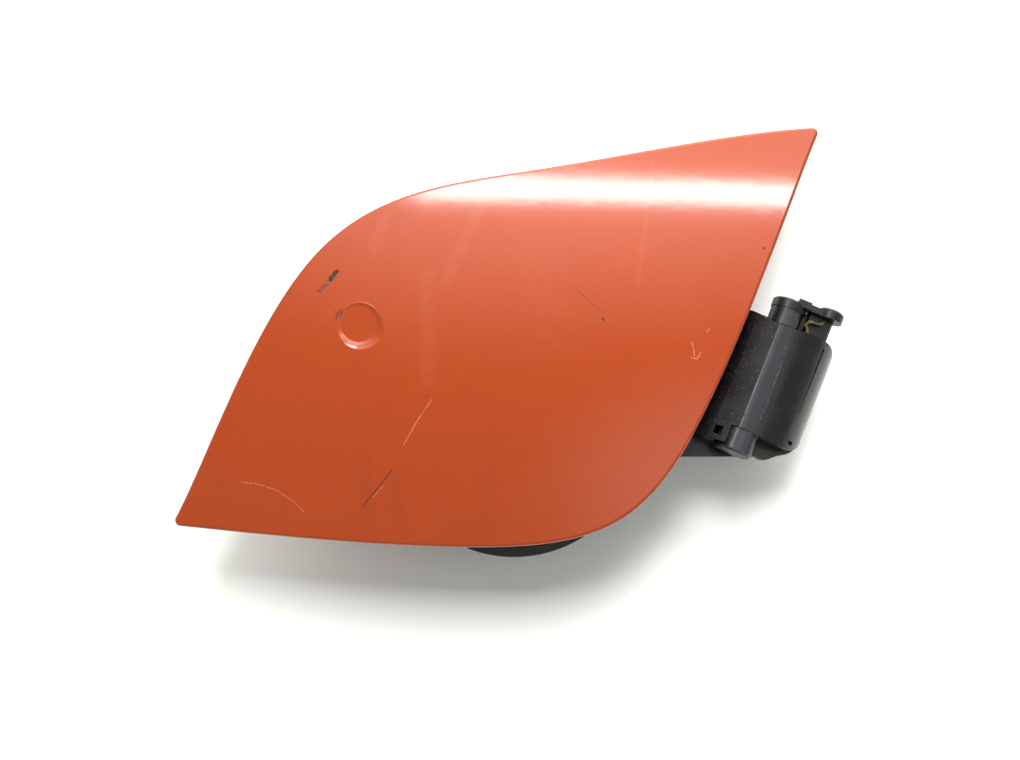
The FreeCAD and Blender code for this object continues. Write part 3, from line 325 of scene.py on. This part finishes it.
def hinge_plastic():
    """The black plastic with what has settled on the hinge box, and a painted sheen along the ridge."""
    n = Nodes("hinge_plastic")
    x, _, _ = n.axes()
    cloud = n.noise(PLASTIC_CLOUD_SCALE, 4.0, 0.6)
    up = n.upward()
    facing = n.ramp(up, 0.4, 0.9)
    roof = n.math("MULTIPLY", n.ramp(x, CREST_X - 0.0006, CREST_X + 0.0004, 1.0, 0.0), facing)
    specks = n.math("MULTIPLY", n.ramp(n.noise(PLASTIC_GRAIN_SCALE, 3.0, 0.75), 0.62, 0.70), facing)
    specks = n.math("MULTIPLY", specks, n.ramp(roof, 0.0, 1.0, 0.35, 1.0))
    # Painted reflection: a paler band from the crest to the crease, paler where it faces up, stands in for a
    # sheen on the ridge
    ridge_sheen = n.math("MULTIPLY", n.ramp(x, CREST_X - 0.0004, CREST_X + 0.0008),
                  n.ramp(x, SHEEN_X, SHEEN_X + SHEEN_FADE, 1.0, 0.0))
    ridge_sheen = n.math("MULTIPLY", ridge_sheen, n.ramp(up, 0.2, 0.6))
    line = n.math("MULTIPLY", n.strokes(seen_on(HINGE_Z, CREASE), CREASE_WIDTH),
                  n.ramp(n.noise(CREASE_SCALE, 3.0, 0.7), 0.50, 0.68, 0.0, 0.7))
    step = n.strokes(seen_on(HINGE_Z, RIDGE_STEP), STEP_WIDTH)

    color = n.mix(n.ramp(cloud, 0.35, 0.75), HINGE_DEEP, HINGE_PALE)
    # Painted sheen mixed in along the ridge
    color = n.mix(n.math("MULTIPLY", ridge_sheen, 0.4), color, RIDGE_SHEEN_COLOR)
    color = n.mix(n.math("MULTIPLY", n.math("MAXIMUM", specks, line), 0.55), color, SPECK_COLOR)
    rough = n.math("ADD", 0.24, n.math("MULTIPLY", roof, 0.04))
    rough = n.math("ADD", rough, n.ramp(cloud, 0.35, 0.7, 0.0, 0.08))
    grain = n.bump(n.noise(PLASTIC_GRAIN_SCALE, 2.0), 0.06, 0.0002)
    return n.set(color=color, rough=rough, specular=0.42,
                 normal=n.bump(n.math("SUBTRACT", 1.0, step), 0.6, 0.0003, grain))


# Rubber and metals
RUBBER_CLOUD_SCALE = 60.0
RUBBER_GRAIN_SCALE = 700.0
RUBBER_DEEP = (0.006, 0.006, 0.0065, 1)
RUBBER_PALE = (0.016, 0.016, 0.016, 1)
METAL_GRAIN_SCALE = 400.0
METAL_STRETCH = (1.0, 12.0, 1.0)
METAL_DARK = 0.75


def rubber():
    """Smooth rubber, glossier in places."""
    n = Nodes("soft_rubber")
    cloud = n.noise(RUBBER_CLOUD_SCALE, 3.0)
    return n.set(color=n.mix(cloud, RUBBER_DEEP, RUBBER_PALE), rough=n.ramp(cloud, 0.3, 0.7, 0.18, 0.35),
                 normal=n.bump(n.noise(RUBBER_GRAIN_SCALE), 0.1, 0.0003))


def metal(name, tint, rough):
    """Plain metal with a grain drawn out along the pin."""
    n = Nodes(name)
    grain = n.noise(METAL_GRAIN_SCALE, 3.0, 0.5, METAL_STRETCH)
    dark = tuple(METAL_DARK * c for c in tint) + (1,)
    return n.set(color=n.mix(grain, dark, tint + (1,)), metal=1.0,
                 rough=n.ramp(grain, 0.3, 0.7, rough * 0.7, rough * 1.3))


PAINT = paint()
BLACK = black_plastic()
HINGE = hinge_plastic()
DARK = black_plastic("dark_plastic", 0.012, 0.45)
RUBBER = rubber()
STEEL = metal("pin_steel", (0.60, 0.60, 0.61), 0.3)
ZINC = metal("yellow_zinc", (0.38, 0.29, 0.14), 0.32)
BRIGHT = metal("bright_zinc", (0.72, 0.72, 0.70), 0.3)

FINISH = {
    "door_skin": PAINT, "hinge_arm": DARK, "arm_screws": BRIGHT, "striker_pad": DARK,
    "filler_pocket": HINGE, "neck_seal": RUBBER, "body_seal": RUBBER, "hinge_skirt": RUBBER,
    "hinge_pin": STEEL, "pin_link": BLACK, "hinge_spring": ZINC, "latch_body": DARK,
    "latch_cap": DARK, "latch_gasket": RUBBER, "latch_plunger": DARK, "latch_tip": RUBBER,
    "latch_spring": STEEL, "latch_follower": STEEL, "rim_bumpers": RUBBER,
}
for name, finish in FINISH.items():
    NODES[name].data.materials.clear()
    NODES[name].data.materials.append(finish)

# Black block filling the dark gap between the neck and the spring post, below the spring's hooked end
GAP_BLOCK_LOW = (0.0768, 0.0684, 0.0400)
GAP_BLOCK_HIGH = (0.0795, 0.0756, 0.0428)
GAP_BLOCK_EDGE = 0.0003
gap_block_shape = bmesh.new()
bmesh.ops.create_cube(gap_block_shape, size=1.0)
for vert in gap_block_shape.verts:
    vert.co = [low + (c + 0.5) * (high - low) for c, low, high in zip(vert.co, GAP_BLOCK_LOW, GAP_BLOCK_HIGH)]
bmesh.ops.bevel(gap_block_shape, geom=gap_block_shape.edges[:], offset=GAP_BLOCK_EDGE, segments=2, profile=0.5, affect="EDGES")
gap_block_mesh = bpy.data.meshes.new("dark_gap_block")
gap_block_shape.to_mesh(gap_block_mesh)
gap_block_shape.free()
gap_block = bpy.data.objects.new("dark_gap_block", gap_block_mesh)
bpy.context.scene.collection.objects.link(gap_block)
gap_block_mesh.materials.append(BLACK)
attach(gap_block, "pocket")

# Floor
FLOOR_HALF = 6.0
FLOOR_DROP = 0.0002
FLOOR_COLOR = (0.86, 0.875, 0.84, 1)
corners = [(x * FLOOR_HALF, y * FLOOR_HALF, 0) for x, y in ((-1, -1), (1, -1), (1, 1), (-1, 1))]
floor_mesh = bpy.data.meshes.new("floor")
floor_mesh.from_pydata(corners, [], [(0, 1, 2, 3)])
floor_mesh.materials.append(Nodes("pale_floor").set(color=FLOOR_COLOR, rough=0.6))
floor = bpy.data.objects.new("floor", floor_mesh)
floor.location.z = -FLOOR_DROP
bpy.context.scene.collection.objects.link(floor)


def lean(degrees_away, degrees_right=0.0):
    """Direction leaning from straight up towards the picture's top and right."""
    away = math.tan(math.radians(degrees_away))
    right = math.tan(math.radians(degrees_right))
    return (UP + AWAY * away + RIGHT * right).normalized()


# Studio: an even room, dimmer overhead, with soft bright patches
# Each patch: direction, degrees of full light, degrees where it ends, brightness
ROOM = 0.52
ROOM_COLOR = (1.0, 1.0, 0.97, 1)
PATCHES = [(lean(0.0), 12.0, 50.0, -0.16), (lean(52.0, 6.0), 20.0, 42.0, 2.5),
           (lean(62.0, 6.0), 10.0, 20.0, 3.0), (lean(-3.0, 17.0), 4.0, 18.0, 1.5)]
bpy.context.scene.view_settings.view_transform = "Standard"

world = bpy.data.worlds.new("studio")
bpy.context.scene.world = world
world.use_nodes = True
sky = world.node_tree
heading = sky.nodes.new("ShaderNodeTexCoord").outputs["Generated"]
background = sky.nodes["Background"]


def soft_patch(direction, full, end, amount):
    """Brightness that fades with the angle from a direction."""
    angle = sky.nodes.new("ShaderNodeVectorMath")
    angle.operation = "DOT_PRODUCT"
    sky.links.new(heading, angle.inputs[0])
    angle.inputs[1].default_value = tuple(direction)
    arc = sky.nodes.new("ShaderNodeMath")
    arc.operation = "ARCCOSINE"
    sky.links.new(angle.outputs["Value"], arc.inputs[0])
    fade = sky.nodes.new("ShaderNodeMapRange")
    fade.interpolation_type = "SMOOTHSTEP"
    sky.links.new(arc.outputs[0], fade.inputs["Value"])
    fade.inputs["From Min"].default_value = math.radians(end)
    fade.inputs["From Max"].default_value = math.radians(full)
    fade.inputs["To Max"].default_value = amount
    return fade.outputs["Result"]


brightness = None
for patch in PATCHES:
    add = sky.nodes.new("ShaderNodeMath")
    sky.links.new(soft_patch(*patch), add.inputs[0])
    add.inputs[1].default_value = ROOM
    if brightness:
        sky.links.new(brightness, add.inputs[1])
    brightness = add.outputs[0]
sky.links.new(brightness, background.inputs["Strength"])
background.inputs["Color"].default_value = ROOM_COLOR

LAMP_DISTANCE = 1.3


def light(name, direction, width, depth, power):
    """Area light aimed at the object's middle, its width along the picture."""
    data = bpy.data.lights.new(name, "AREA")
    data.shape = "RECTANGLE"
    data.size = width
    data.size_y = depth
    data.energy = power
    lamp = bpy.data.objects.new(name, data)
    side = (RIGHT - direction * RIGHT.dot(direction)).normalized()
    place = Matrix((side, direction.cross(side), direction)).transposed().to_4x4()
    lamp.matrix_world = Matrix.Translation(direction * LAMP_DISTANCE) @ place
    bpy.context.scene.collection.objects.link(lamp)
    return lamp


# A strip that the paint mirrors near its far edge, a key that makes the short shadow and isn't mirrored,
# and a small lamp for the highlight along the hinge box's ridge alone
light("strip", lean(32.9, 8.0), 0.64, 0.066, 3.4)
key = light("key", lean(19.0, -3.0), 0.36, 0.36, 13.5)
key.visible_glossy = False
glint = light("glint", Vector((-0.384, 0.185, 1.0)).normalized(), 0.08, 0.08, 2.8)
ridge_pieces = bpy.data.collections.new("ridge_pieces")
for name in ("filler_pocket", "pin_link"):
    ridge_pieces.objects.link(NODES[name])
glint.light_linking.receiver_collection = ridge_pieces
